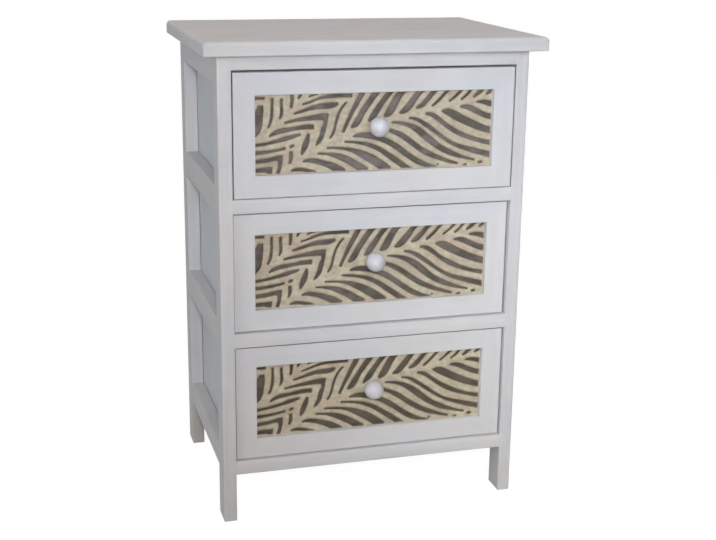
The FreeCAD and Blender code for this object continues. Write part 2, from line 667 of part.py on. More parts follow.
def make_dowel(name, joint, way):
    """A dowel centred on the face where two pieces meet, and the bore through both of them."""
    start = moved(joint, way, "-dowel_length / 2")
    dowel = rod(name, "dowel_diameter", "dowel_length", start, way)
    bore_start = moved(joint, way, "-(dowel_length + bore_end_gap) / 2")
    return dowel, bore(f"{name}_bore", "dowel_diameter", "dowel_length", bore_start, way)


sheet = make_sheet()
bores = {}
dowels = []


def drill(tool, *pieces):
    """Note a bore for each of the pieces that it passes through."""
    for piece in pieces:
        bores.setdefault(piece, []).append(tool)


# Blanks of the frame, before their bores
blanks = {}
for end in ("front", "rear"):
    for side in ("left", "right"):
        blanks[f"{end}_{side}_leg"] = make_leg(side, end)

RAIL_LEVELS = {
    "top": f"({LEG_TOP} - rail_height)",
    "upper": f"({UPPER_FLOOR} - rail_height)",
    "lower": f"({MIDDLE_FLOOR} - rail_height)",
    "bottom": "foot_height",
}
FRONT_RAILS = {
    "top": "front_top_rail",
    "upper": "front_upper_divider",
    "lower": "front_lower_divider",
    "bottom": "front_bottom_rail",
}
for level, bottom in RAIL_LEVELS.items():
    name = FRONT_RAILS[level]
    height = (bottom, f"{bottom} + rail_height")
    blanks[name] = box(f"{name}_blank", (f"-{INNER}", INNER),
                       (FRONT, FRONT_LEG_BACK), height)
    for side in ("left", "right"):
        joint = (mirrored(side, INNER), f"{FRONT} + leg_depth / 2",
                 f"{bottom} + rail_height / 2")
        dowel, hole = make_dowel(f"{name}_{side}_dowel", joint, outer_way(side))
        dowels.append(dowel)
        drill(hole, name, f"front_{side}_leg")

for level in ("top", "bottom"):
    name = f"rear_{level}_rail"
    bottom = RAIL_LEVELS[level]
    blanks[name] = box(f"{name}_blank", (f"-{INNER}", INNER), (REAR_RAIL_FRONT, BACK_PANEL_FRONT),
                       (bottom, f"{bottom} + rail_height"))
    for side in ("left", "right"):
        joint = (mirrored(side, INNER), f"{REAR_RAIL_FRONT} + rear_rail_thickness / 2",
                 f"{bottom} + rail_height / 2")
        dowel, hole = make_dowel(f"{name}_{side}_dowel", joint, outer_way(side))
        dowels.append(dowel)
        drill(hole, name, f"rear_{side}_leg")

SIDE_RAILS = {
    "top": (f"({LEG_TOP} - side_top_rail_height)", "side_top_rail_height"),
    "upper": (f"({UPPER_FLOOR} - side_rail_drop)", "side_rail_height"),
    "lower": (f"({MIDDLE_FLOOR} - side_rail_drop)", "side_rail_height"),
    "bottom": ("(foot_height + side_bottom_rail_rise)", "side_bottom_rail_height"),
}
for side in ("left", "right"):
    for level, (bottom, height) in SIDE_RAILS.items():
        name = f"{side}_{level}_rail"
        blanks[name] = box(f"{name}_blank", outward(side, INNER, HALF),
                           (FRONT_LEG_BACK, REAR_LEG_FRONT), (bottom, f"{bottom} + {height}"))
        for end, face in (("front", FRONT_LEG_BACK), ("rear", REAR_LEG_FRONT)):
            joint = (mirrored(side, LEG_MIDDLE), face, f"{bottom} + {height} / 2")
            dowel, hole = make_dowel(f"{name}_{end}_dowel", joint, "+y")
            dowels.append(dowel)
            drill(hole, name, f"{end}_{side}_leg")
    blanks[f"{side}_side_panel"] = box(
        f"{side}_side_panel_blank", outward(side, SIDE_PANEL_FACE, INNER),
        (FRONT_LEG_BACK, REAR_RAIL_FRONT), (SIDE_RAILS["bottom"][0], LEG_TOP))

PANEL_HALF = f"({INNER} + back_panel_rabbet)"
blanks["back_panel"] = box("back_panel_blank", (f"-{PANEL_HALF}", PANEL_HALF),
                           (BACK_PANEL_FRONT, f"{BACK_PANEL_FRONT} + back_panel_thickness"),
                           ("foot_height", LEG_TOP))
blanks["top_board"] = make_top()

# Drawer runners and their screws
runner_screws = []
for level, (floor, opening, inset) in DRAWERS.items():
    rail = {"upper": "upper", "middle": "lower", "lower": "bottom"}[level]
    for side in ("left", "right"):
        name = f"{level}_{side}_runner"
        top = f"({floor} + runner_lift)"
        rear = REAR_RAIL_FRONT if level == "lower" else BACK_PANEL_FRONT
        inner = f"({SIDE_PANEL_FACE} - runner_width)"
        blanks[name] = box(f"{name}_blank", outward(side, inner, SIDE_PANEL_FACE),
                           (FRONT_LEG_BACK, rear), (f"{top} - runner_height", top))
        for end, y in (("front", f"{FRONT_LEG_BACK} + runner_screw_inset"),
                       ("rear", f"{REAR_LEG_FRONT} - runner_screw_inset")):
            seat = (mirrored(side, inner), y, f"{top} - runner_height / 2")
            screw = headed(f"{name}_{end}_screw", "runner_screw_diameter", "runner_screw_length",
                           "screw_head_diameter", "screw_head_height", seat, outer_way(side))
            runner_screws.append(screw)
            hole = bore(f"{name}_{end}_bore", "runner_screw_diameter", "runner_screw_length",
                        seat, outer_way(side))
            drill(hole, name, f"{side}_side_panel", f"{side}_{rail}_rail")

# Screws that hold the top board from below
top_screws = []


def add_top_screw(rail, height, x, y):
    """A screw up through the whole height of a top rail into the top board."""
    name = f"top_screw_{len(top_screws) + 1}"
    seat = (x, y, f"{LEG_TOP} - {height}")
    length = f"({height} + top_screw_grip)"
    top_screws.append(headed(name, "top_screw_diameter", length, "screw_head_diameter",
                             "screw_head_height", seat, "+z"))
    hole = bore(f"{name}_bore", "top_screw_diameter", length, seat, "+z")
    drill(hole, rail, "top_board")


for side in ("left", "right"):
    across = mirrored(side, f"({INNER} - top_screw_inset)")
    add_top_screw("front_top_rail", "rail_height", across, f"{FRONT} + top_screw_setback")
    add_top_screw("rear_top_rail", "rail_height", across,
                  f"{REAR_RAIL_FRONT} + rear_rail_thickness / 2")
    for y in (f"{FRONT_LEG_BACK} + side_screw_inset", f"{REAR_LEG_FRONT} - side_screw_inset"):
        add_top_screw(f"{side}_top_rail", "side_top_rail_height", mirrored(side, LEG_MIDDLE), y)

# Nails of the back panel and of the side panels' top edges
nails = []


def add_nail(x, y, z, way, *pieces):
    """A nail whose head lies on the panel that it holds."""
    name = f"nail_{len(nails) + 1}"
    nails.append(headed(name, "nail_diameter", "nail_length", "nail_head_diameter",
                        "nail_head_height", (x, y, z), way))
    hole = bore(f"{name}_bore", "nail_diameter", "nail_length", (x, y, z), way)
    drill(hole, *pieces)


PANEL_BACK = f"({BACK_PANEL_FRONT} + back_panel_thickness)"
for level in ("top", "bottom"):
    for thirds in (-3, -1, 1, 3):
        add_nail(f"({thirds}) * ({INNER} - back_nail_inset) / 3", PANEL_BACK,
                 f"{RAIL_LEVELS[level]} + rail_height / 2", "-y", "back_panel",
                 f"rear_{level}_rail")
for side in ("left", "right"):
    for floor, opening, inset in DRAWERS.values():
        add_nail(mirrored(side, f"{INNER} + back_panel_rabbet / 2"), PANEL_BACK,
                 f"{floor} + {opening} / 2", "-y", "back_panel", f"rear_{side}_leg")
    for y in (f"{FRONT_LEG_BACK} + side_nail_inset", f"{REAR_LEG_FRONT} - side_nail_inset"):
        add_nail(mirrored(side, SIDE_PANEL_FACE), y, f"{LEG_TOP} - rail_height / 2",
                 outer_way(side), f"{side}_side_panel", f"{side}_top_rail")

for name, blank in blanks.items():
    keep(name, cut(name, blank, bores[name]))
grouped("frame_dowels", dowels)
grouped("top_screws", top_screws)
grouped("runner_screws", runner_screws)
grouped("panel_nails", nails)

plate = fretwork_plate()
for level, (floor, opening, inset) in DRAWERS.items():
    make_drawer(level, floor, opening, inset, plate)

doc.recompute()

for thing in doc.Objects:
    if "Invalid" in thing.State or "Error" in thing.State:
        raise RuntimeError(f"{thing.Name} was not built: {thing.State}")
for name, thing in nodes.items():
    if thing.Shape.isNull() or not thing.Shape.isValid() or not thing.Shape.Solids:
        raise RuntimeError(f"{name} has no valid solid")

os.makedirs("parts", exist_ok=True)
for name, thing in nodes.items():
    thing.Shape.exportStep(os.path.join("parts", f"{name}.step"))
print(f"{len(nodes)} sub-parts written")
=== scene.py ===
import json
import math

import bmesh
import bpy
import numpy as np
from mathutils import Matrix, Vector, kdtree
from mathutils.geometry import delaunay_2d_cdt


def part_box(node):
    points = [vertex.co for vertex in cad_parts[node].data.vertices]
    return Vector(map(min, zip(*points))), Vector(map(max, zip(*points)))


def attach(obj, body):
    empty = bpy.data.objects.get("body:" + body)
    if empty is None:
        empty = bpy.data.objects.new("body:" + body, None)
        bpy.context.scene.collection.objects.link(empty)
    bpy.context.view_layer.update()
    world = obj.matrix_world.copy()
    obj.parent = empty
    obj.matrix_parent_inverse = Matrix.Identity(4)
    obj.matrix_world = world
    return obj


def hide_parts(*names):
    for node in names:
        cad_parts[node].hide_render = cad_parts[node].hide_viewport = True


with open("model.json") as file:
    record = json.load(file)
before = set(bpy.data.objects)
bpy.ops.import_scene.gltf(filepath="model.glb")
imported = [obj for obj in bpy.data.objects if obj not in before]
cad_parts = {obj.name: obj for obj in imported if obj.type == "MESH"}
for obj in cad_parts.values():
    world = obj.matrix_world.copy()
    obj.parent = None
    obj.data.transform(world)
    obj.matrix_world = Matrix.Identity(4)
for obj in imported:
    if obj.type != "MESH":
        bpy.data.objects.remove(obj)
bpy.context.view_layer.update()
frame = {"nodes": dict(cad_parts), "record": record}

MM = 0.001
LEVELS = ("upper", "middle", "lower")
SIDES = ("left", "right")

# Points nearer to a plane than this lie on it. Points nearer to each other than this are one.
ON_PLANE = 0.05 * MM
ONE_POINT = 0.01 * MM

# The photograph's view: place in metres, turns in degrees, lens and sensor in millimetres
CAMERA_PLACE = Vector((-0.4168, -1.4942, 0.7060))
CAMERA_YAW = 16.14
CAMERA_DOWN = 15.76
CAMERA_ROLL = -0.74
CAMERA_LENS = 63.75
CAMERA_SENSOR = 36

# Each lamp's name, place, target, size, watts, colour and spread in degrees
LAMPS = (
    ("overhead", (0, 0.2, 2.4), (0, 0, 0.5), 1.6, 12.8, (1, 0.83, 0.75), 180),
    ("left", (-2.0, -0.9, 1.0), (-0.1, 0, 0.33), 0.9, 11.8, (0.92, 0.96, 1), 180),
    ("fill", (-0.40, -1.60, 0.78), (-0.05, 0, 0.33), 0.12, 7.85, (1, 0.92, 0.86), 180),
    ("front", (-0.05, -1.60, 1.05), (0.05, -0.1, 0.33), 0.4, 2.79, (1, 0.97, 0.97), 180),
    ("narrow_middle", (-0.30, -1.60, 0.76), (0.05, -0.1, 0.53), 0.3, 0.30, (0.66, 0.80, 1), 34),
    ("narrow_right", (-0.05, -1.60, 0.95), (0.35, -0.1, 0.10), 0.4, 0.74, (0.92, 0.95, 0.94), 38),
)

# The surroundings. The floor is shown by one share as white light of a strength, and by the rest
# as its own paint, which keeps the shadow.
WHITE = (1, 1, 1)
SKY = (0.1, 0.1, 0.1)
FLOOR_SIZE = 30
FLOOR_PAINT = (0.36, 0.33, 0.31)
FLOOR_WHITE_STRENGTH = 1.22
FLOOR_WHITE_SHARE = 0.8

# Colours, as linear light
WHITE_PAINT = (0.650, 0.655, 0.675)
# The panels' paint is lighter and bluer than the other white paint: painted light for the cool
# light on the chest's left side
LIT_PANEL_PAINT = (0.690, 0.735, 0.775)
KNOB_PAINT = (0.60, 0.605, 0.650)
# Painted shade at the rims of the drawer fronts, for the shadow in the gaps around them
PAINTED_GAP_SHADE = (0.14, 0.135, 0.135)
CREAM_WASH = (0.555, 0.520, 0.385)
CREAM_BLUSH = (0.530, 0.435, 0.330)
SMOKED = (0.30, 0.250, 0.185)
# The brown of toasted wood, which also paints the shadow along the slots' upper edges
TOAST_AND_SHADE_BROWN = (0.100, 0.070, 0.036)
# Each drawer's backing is lighter in the upper drawer and darker in the lower: painted shade for
# the light from above, which reaches less far into the lower slots
BACKING_MAUVE = {"upper": (0.200, 0.168, 0.160), "middle": (0.165, 0.137, 0.125),
                 "lower": (0.125, 0.100, 0.080)}
BACKING_GREY = {"upper": (0.105, 0.092, 0.075), "middle": (0.092, 0.080, 0.064),
                "lower": (0.078, 0.066, 0.048)}
BARE_WOOD = (0.60, 0.45, 0.29)
BARE_WOOD_DARK = (0.43, 0.28, 0.15)
ZINC = (0.60, 0.60, 0.58)

# Tints of the white paint in its cooler and its warmer places
COOL_TINT = (0.975, 0.985, 1.0)
WARM_TINT = (1.0, 0.99, 0.965)

# Grain: length and width of its marks, in metres
PAINT_STREAKS = (0.160, 0.0050)
PAINT_FIBRES = (0.025, 0.0009)
FRONT_STREAKS = (0.160, 0.0080)
FRONT_FIBRES = (0.025, 0.0012)
YEAR_RINGS = (0.300, 0.0060)
SAWN_FIBRES = (0.040, 0.0006)
FRETWORK_FIBRES = (0.015, 0.0008)
BACKING_FIBRES = (0.060, 0.0012)

# How strongly the grain shows on a drawer front, against 1 on the other painted boards
FRONT_CONTRAST = 0.6

# Clouds: swells a metre along X, Y and Z
PAINT_CLOUDS = (17, 17, 17)
PAINT_WARMTH = (9, 9, 9)
WASH_PATCHES = (60, 60, 90)
WASH_THICKNESS = (140, 140, 190)
SMOKE = (26, 26, 38)
BACKING_PATCHES = (36, 36, 50)
KNOB_RIPPLES = (260, 260, 260)
ZINC_SPANGLE = (900, 900, 900)

# The band in which most of a noise's values lie
COMMON_BAND = (0.3, 0.7)

# A mix node's share, first and second input, for numbers and for colours, and its colour output
NUMBER_INPUTS = (0, 2, 3)
COLOUR_INPUTS = (0, 6, 7)
COLOUR_OUTPUT = 2

# How far a drawer's fretwork reaches past its window
WINDOW_OVERLAP = 9 * MM

# Widths of the eased edges, and the steps of their rounds
FOOT_EASE = 1.6 * MM
FRONT_RAIL_EASE = 0.7 * MM
SIDE_RAIL_EASE = 0.9 * MM
DRAWER_FRONT_EASE = 0.6 * MM
BARE_WOOD_EASE = 0.5 * MM
EASE_STEPS = 3

# How far a side panel's outer face stands behind the CAD's
PANEL_SINK = 0.8 * MM

# Bends between two faces, in degrees: flat up to the first, a round up to the second, and an edge
# above it. Only edges between the last two are eased.
FLAT_BEND = 0.5
ROUND_BEND = 35
EASED_BENDS = (50, 130)

# The fretwork's mesh, all in millimetres: the steps of its outlines, and of the samples that
# distances are measured to
OUTLINE_STEP = 1.0
SAMPLE_STEP = 0.25

# Rings of points at these distances from each slot, kept where no other edge is nearer than this
# share of the distance
RING_DISTANCES = (0.35, 0.8, 1.4, 2.2)
RING_CLEARANCE = 0.93

# A grid of points with this step and this margin to the panel's ends, kept where every edge is
# farther than this distance
GRID_STEP = 2.4
GRID_MARGIN = 2
GRID_DISTANCE = 3.0

# Points nearer to each other than this are one in the triangulation
MERGE_DISTANCE = 1e-4

# The rounds of the slots' front edges, in millimetres: see fretwork_mesh
EDGE_FALL = 0.3
EDGE_WIDTH = 0.9

# Toasting and painted shadow: their level and their width in millimetres, each the toasting beside
# a slot and the painted shadow added above it, and the power by which they fade. See the Wood
# class.
TOAST_AND_SHADE_LEVEL = (0.8, 0.2)
TOAST_AND_SHADE_WIDTH = (1.3, 1.1)
TOAST_AND_SHADE_POWER = 1.2


class Finish:
    """A material that is built up node by node."""

    def __init__(self, name):
        self.material = bpy.data.materials.new(name)
        self.material.use_nodes = True
        self.tree = self.material.node_tree
        self.shader = self.tree.nodes["Principled BSDF"]

    def node(self, kind, settings=None, **inputs):
        """Add a node. Inputs are numbers, colours or other nodes' sockets, by socket name."""
        node = self.tree.nodes.new(kind)
        for name, value in (settings or {}).items():
            setattr(node, name, value)
        for name, value in inputs.items():
            self.feed(node.inputs[name.replace("_", " ")], value)
        return node

    def feed(self, socket, value):
        """Give a socket a value, or link another node's socket to it."""
        if isinstance(value, bpy.types.NodeSocket):
            self.tree.links.new(value, socket)
        elif socket.type == "RGBA":
            socket.default_value = (*value, 1)
        else:
            socket.default_value = value

    def feed_in_order(self, node, sockets, values):
        """Feed values to a node's inputs that share their names, by number."""
        for socket, value in zip(sockets, values):
            self.feed(node.inputs[socket], value)

    def set(self, **inputs):
        """Set the shader's own sockets."""
        for name, value in inputs.items():
            self.feed(self.shader.inputs[name.replace("_", " ")], value)

    def math(self, operation, first, second):
        """A sum, product or other operation on two numbers."""
        node = self.node("ShaderNodeMath", {"operation": operation})
        self.feed_in_order(node, (0, 1), (first, second))
        return node.outputs[0]

    def ranged(self, value, band, levels=(0.0, 1.0)):
        """A value moved from a band to the levels at the band's ends, and kept between them."""
        node = self.node("ShaderNodeMapRange", Value=value, From_Min=band[0], From_Max=band[1],
                         To_Min=levels[0], To_Max=levels[1])
        return node.outputs[0]

    def mix_numbers(self, share, first, second):
        """A number between two."""
        node = self.node("ShaderNodeMix", {"data_type": "FLOAT"})
        self.feed_in_order(node, NUMBER_INPUTS, (share, first, second))
        return node.outputs[0]

    def mix(self, share, first, second, blend="MIX"):
        """A colour between two, or blended from them."""
        node = self.node("ShaderNodeMix", {"data_type": "RGBA", "blend_type": blend})
        self.feed_in_order(node, COLOUR_INPUTS, (share, first, second))
        return node.outputs[COLOUR_OUTPUT]

    def shaded(self, colour, *levels):
        """A colour multiplied by plain numbers."""
        for level in levels:
            grey = self.node("ShaderNodeCombineColor", Red=level, Green=level, Blue=level)
            colour = self.mix(1.0, colour, grey.outputs[0], "MULTIPLY")
        return colour

    def attribute(self, name):
        """A number stored on the mesh's points."""
        return self.node("ShaderNodeAttribute", {"attribute_name": name}).outputs["Fac"]

    def place(self):
        """The point's place on the chest, in metres."""
        return self.node("ShaderNodeTexCoord").outputs["Object"]

    def from_middle(self):
        """The point's distance from the chest's middle plane, in metres."""
        across = self.node("ShaderNodeSeparateXYZ", Vector=self.place()).outputs["X"]
        return self.math("ABSOLUTE", across, 0.0)

    def noise(self, swells, detail=3.0):
        """Cloudy variation, other on each board, from its swells a metre along X, Y and Z."""
        mapping = self.node("ShaderNodeMapping", Vector=self.place(), Scale=swells)
        node = self.node("ShaderNodeTexNoise", {"noise_dimensions": "4D"},
                         Vector=mapping.outputs[0], W=self.attribute("board"), Scale=1.0,
                         Detail=detail, Roughness=0.55)
        return node.outputs[0]

    def grain(self, along, marks, detail=4.0):
        """Streaks that run along one axis, from the length and width of their marks in metres."""
        length, width = marks
        return self.noise([1 / length if axis == along else 1 / width for axis in "xyz"], detail)

    def bump(self, height, depth, strength, under=None):
        """Surface relief from a height between 0 and 1, over a depth in metres."""
        node = self.node("ShaderNodeBump", Height=height, Distance=depth, Strength=strength)
        if under is not None:
            self.feed(node.inputs["Normal"], under)
        return node.outputs[0]


def framed_grain(finish, marks):
    """Grain of a drawer front: upright in its two stiles, level in the rails between them."""
    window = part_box("upper_drawer_fretwork")[1].x - WINDOW_OVERLAP
    in_stile = finish.math("GREATER_THAN", finish.from_middle(), window)
    return finish.mix_numbers(in_stile, finish.grain("x", marks), finish.grain("z", marks))


def painted_gap_shade(finish):
    """How much painted shade a drawer front gets for the shadow in the gap around it: most at the
    outer edges of its face, and just behind them.
    """
    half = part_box("upper_drawer_front")[1].x
    from_end = finish.math("SUBTRACT", half, finish.from_middle())
    from_edge = finish.math("MINIMUM", from_end, finish.math(
        "MINIMUM", finish.attribute("above"), finish.attribute("below")))
    return finish.math(
        "MULTIPLY",
        finish.ranged(from_edge, band=(0.3 * MM, 0.9 * MM), levels=(0.8, 0.0)),
        finish.ranged(finish.attribute("behind"), band=(0.8 * MM, 2.0 * MM), levels=(1.0, 0.0)))


def white_paint(name, along, base=WHITE_PAINT):
    """Thin white paint over wood: the grain shows through as faint streaks and relief."""
    finish = Finish(name)
    if along == "framed":
        streaks = framed_grain(finish, FRONT_STREAKS)
        fibres = framed_grain(finish, FRONT_FIBRES)
        contrast = FRONT_CONTRAST
    else:
        streaks = finish.grain(along, PAINT_STREAKS)
        fibres = finish.grain(along, PAINT_FIBRES)
        contrast = 1.0
    clouds = finish.noise(PAINT_CLOUDS, detail=2.0)
    warmth = finish.noise(PAINT_WARMTH, detail=1.0)
    tint = finish.mix(finish.ranged(warmth, band=(0.38, 0.62)), COOL_TINT, WARM_TINT)
    colour = finish.mix(1.0, base, tint, "MULTIPLY")
    colour = finish.shaded(
        colour,
        finish.ranged(clouds, band=(0.30, 0.65), levels=(0.965, 1.02)),
        finish.ranged(streaks, band=(0.34, 0.60), levels=(1 - 0.05 * contrast, 1.005)),
        finish.ranged(fibres, COMMON_BAND, levels=(1 - 0.045 * contrast, 1 + 0.025 * contrast)))
    if along == "framed":
        # Painted shade along the rim of the face, for the shadow in the gap around the drawer
        colour = finish.mix(painted_gap_shade(finish), colour, PAINTED_GAP_SHADE)
    relief = finish.bump(fibres, depth=0.05 * MM, strength=0.5)
    relief = finish.bump(streaks, depth=0.12 * MM, strength=0.4, under=relief)
    finish.set(Base_Color=colour, Normal=relief, Specular_IOR_Level=0.25,
               Roughness=finish.ranged(fibres, COMMON_BAND, levels=(0.50, 0.62)))
    return finish.material


def bare_wood(name, along):
    """Pale sawn wood, with darker year rings drawn out along the grain."""
    finish = Finish(name)
    rings = finish.grain(along, YEAR_RINGS, detail=2.0)
    fibres = finish.grain(along, SAWN_FIBRES)
    colour = finish.mix(finish.ranged(rings, band=(0.40, 0.60), levels=(0.1, 0.9)),
                        BARE_WOOD, BARE_WOOD_DARK)
    colour = finish.mix(finish.ranged(fibres, COMMON_BAND, levels=(0.0, 0.35)),
                        colour, BARE_WOOD_DARK)
    finish.set(Base_Color=colour, Normal=finish.bump(fibres, depth=0.20 * MM, strength=0.6),
               Roughness=0.72)
    return finish.material


def fretwork_finish():
    """Cream wash, blushed and smoked in patches, toasted brown towards each slot and inside, with
    painted shadow above each slot.
    """
    finish = Finish("fretwork_wood")
    patches = finish.noise(WASH_PATCHES)
    thickness = finish.noise(WASH_THICKNESS)
    fibres = finish.grain("x", FRETWORK_FIBRES)
    wash = finish.mix(finish.ranged(patches, band=(0.42, 0.60)), CREAM_WASH, CREAM_BLUSH)
    wash = finish.shaded(
        wash,
        finish.ranged(thickness, band=(0.34, 0.66), levels=(0.80, 1.06)),
        finish.ranged(fibres, band=(0.35, 0.70), levels=(1.0, 0.90)))
    smoke = finish.noise(SMOKE, detail=4.0)
    wash = finish.mix(finish.ranged(smoke, band=(0.50, 0.70), levels=(0.0, 0.55)), wash, SMOKED)
    # Toasting beside the slots, with painted shadow above them
    toast_and_shade = finish.math("MULTIPLY", finish.attribute("toast_and_shade"),
                        finish.ranged(patches, band=(0.35, 0.60), levels=(0.65, 1.0)))
    finish.set(Base_Color=finish.mix(toast_and_shade, wash, TOAST_AND_SHADE_BROWN),
               Normal=finish.bump(fibres, depth=0.12 * MM, strength=0.6), Roughness=0.60)
    return finish.material


def backing_finish(level):
    """Thin stained board, mauve grey in some places and plain grey in others, and darker from the
    upper drawer down as painted shade.
    """
    finish = Finish(f"dark_board_{level}")
    patches = finish.noise(BACKING_PATCHES, detail=2.0)
    fibres = finish.grain("x", BACKING_FIBRES)
    colour = finish.mix(finish.ranged(patches, band=(0.42, 0.58)), BACKING_MAUVE[level],
                        BACKING_GREY[level])
    colour = finish.shaded(colour, finish.ranged(fibres, COMMON_BAND, levels=(1.0, 0.8)))
    finish.set(Base_Color=colour, Normal=finish.bump(fibres, depth=0.15 * MM, strength=0.5),
               Roughness=0.7)
    return finish.material


def knob_paint():
    """Glossier white paint on turned wood."""
    finish = Finish("knob_paint")
    ripples = finish.noise(KNOB_RIPPLES, detail=2.0)
    shade = finish.ranged(ripples, COMMON_BAND, levels=(0.95, 1.0))
    finish.set(Base_Color=finish.shaded(KNOB_PAINT, shade),
               Normal=finish.bump(ripples, depth=0.10 * MM, strength=0.4),
               Roughness=finish.ranged(ripples, COMMON_BAND, levels=(0.30, 0.40)))
    return finish.material


def zinc():
    """Zinc-plated steel, faintly mottled."""
    finish = Finish("zinc")
    spangle = finish.noise(ZINC_SPANGLE, detail=2.0)
    finish.set(Base_Color=ZINC, Metallic=1.0,
               Roughness=finish.ranged(spangle, COMMON_BAND, levels=(0.28, 0.45)))
    return finish.material


PAINT = {along: white_paint(f"white_paint_{along}", along)
         for along in ("x", "y", "z", "framed")}
# Side and back panels get the lighter, bluer paint, as painted light
PAINT["panel"] = white_paint("white_paint_panel_lit", "z", LIT_PANEL_PAINT)
WOOD = {along: bare_wood(f"bare_wood_{along}", along) for along in "xyz"}
FRETWORK = fretwork_finish()
BACKING = {level: backing_finish(level) for level in LEVELS}
KNOB = knob_paint()
METAL = zinc()

SLOT_OF = {part["node"]: part["material_slot"] for part in frame["record"]["subparts"]}
BODY_OF = {node: body for body, members in frame["record"]["behaviour"]["bodies"].items()
           for node in members}
NUMBER_OF = {node: number for number, node in enumerate(sorted(SLOT_OF))}


def grain_axis(node):
    """The axis of a node's longest side."""
    low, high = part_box(node)
    return "xyz"[int(np.argmax(high - low))]


def coat(node, material):
    """Give a CAD node its finish."""
    slots = frame["nodes"][node].data.materials
    slots.clear()
    slots.append(material)


def store(mesh, name, values):
    """Store a number on each point of a mesh."""
    numbers = np.asarray(values, np.float32)
    mesh.attributes.new(name, "FLOAT", "POINT").data.foreach_set("value", numbers)


def add_piece(node, mesh, material):
    """Link a finished mesh as the piece that stands for a CAD node."""
    store(mesh, "board", np.full(len(mesh.vertices), NUMBER_OF[node]))
    mesh.materials.clear()
    mesh.materials.append(material)
    piece = bpy.data.objects.new(f"{node}_finished", mesh)
    bpy.context.scene.collection.objects.link(piece)
    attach(piece, BODY_OF[node])
    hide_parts(node)


def merged_copy(node):
    """A node's mesh with its doubled points merged and its flat faces joined up."""
    shape = bmesh.new()
    shape.from_mesh(frame["nodes"][node].data)
    bmesh.ops.remove_doubles(shape, verts=shape.verts, dist=ONE_POINT)
    bmesh.ops.dissolve_limit(shape, angle_limit=math.radians(FLAT_BEND), verts=shape.verts,
                             edges=shape.edges)
    return shape


def bends(edge, least, most):
    """Whether two faces meet at an edge with a bend between two angles in degrees."""
    return len(edge.link_faces) == 2 and least < math.degrees(edge.calc_face_angle()) < most


def as_mesh(shape, name):
    """A mesh made from worked geometry: flat boards, with only their rounds smooth shaded."""
    shape.normal_update()
    for edge in shape.edges:
        edge.smooth = not bends(edge, ROUND_BEND, 180)
    for face in shape.faces:
        face.smooth = sum(bends(edge, FLAT_BEND, ROUND_BEND) for edge in face.edges) > 1
    mesh = bpy.data.meshes.new(name)
    shape.to_mesh(mesh)
    shape.free()
    return mesh


def eased(node, width, wanted):
    """A board as the CAD has it, with small rounds along the edges that a test picks out."""
    shape = merged_copy(node)
    picked = [edge for edge in shape.edges
              if bends(edge, *EASED_BENDS) and wanted(*(end.co for end in edge.verts))]
    bmesh.ops.bevel(shape, geom=picked, offset=width, segments=EASE_STEPS, profile=0.5,
                    affect="EDGES", clamp_overlap=False)
    return as_mesh(shape, node)


def add_eased_frame():
    """Legs with eased feet, and rails eased along the edges that lie between their ends."""
    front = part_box("front_top_rail")[0].y
    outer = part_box("front_right_leg")[1].x

    def at_foot(start, end):
        return max(start.z, end.z) < ON_PLANE

    def along_front(start, end):
        return abs(start.z - end.z) < ON_PLANE \
            and all(abs(place.y - front) < ON_PLANE for place in (start, end))

    def along_side(start, end):
        return abs(start.z - end.z) < ON_PLANE \
            and all(outer - abs(place.x) < ON_PLANE for place in (start, end))

    for node in SLOT_OF:
        if node.endswith("_leg"):
            add_piece(node, eased(node, FOOT_EASE, at_foot), PAINT["z"])
        elif node in ("front_top_rail", "front_upper_divider", "front_lower_divider",
                      "front_bottom_rail"):
            add_piece(node, eased(node, FRONT_RAIL_EASE, along_front), PAINT["x"])
        elif node.startswith(SIDES) and node.endswith("_rail"):
            add_piece(node, eased(node, SIDE_RAIL_EASE, along_side), PAINT["y"])


def add_eased_front(level):
    """A drawer front with its outer edges eased all round its face."""
    node = f"{level}_drawer_front"
    low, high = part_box(node)

    def around_face(start, end):
        ends = (start, end)
        return all(abs(place.y - low.y) < ON_PLANE for place in ends) \
            and (all(high.x - abs(place.x) < ON_PLANE for place in ends)
                 or all(place.z - low.z < ON_PLANE for place in ends)
                 or all(high.z - place.z < ON_PLANE for place in ends))

    mesh = eased(node, DRAWER_FRONT_EASE, around_face)
    add_piece(node, mesh, PAINT["framed"])
    # Distances from the face's edges, which place the painted gap shade at its rim
    store(mesh, "behind", [vertex.co.y - low.y for vertex in mesh.vertices])
    store(mesh, "above", [vertex.co.z - low.z for vertex in mesh.vertices])
    store(mesh, "below", [high.z - vertex.co.z for vertex in mesh.vertices])


def add_sunk_panel(side):
    """A side panel whose outer face stands a little behind the rails, so that a slit shows."""
    node = f"{side}_side_panel"
    low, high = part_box(node)
    outer = max(abs(low.x), abs(high.x))
    shape = merged_copy(node)
    for point in shape.verts:
        if outer - abs(point.co.x) < ON_PLANE:
            point.co.x -= math.copysign(PANEL_SINK, point.co.x)
    add_piece(node, as_mesh(shape, node), PAINT["panel"])


def faces_front(face):
    """Whether a face looks out of a drawer's front."""
    return face.normal.y < -0.9


def front_outlines(node):
    """The outlines of a pierced panel's front face, in millimetres across and up.

    Each is a closed row of points in order, with the wood on its left.
    """
    shape = merged_copy(node)
    following = {}
    for face in filter(faces_front, shape.faces):
        for corner in face.loops:
            if sum(faces_front(other) for other in corner.edge.link_faces) == 1:
                following[corner.vert] = corner.link_loop_next.vert
    outlines = []
    while following:
        first = point = next(iter(following))
        outline = []
        while point in following:
            outline.append((point.co.x / MM, point.co.z / MM))
            point = following.pop(point)
        if point is not first:
            raise ValueError(f"{node} has an open outline")
        outlines.append(np.array(outline))
    shape.free()
    return outlines


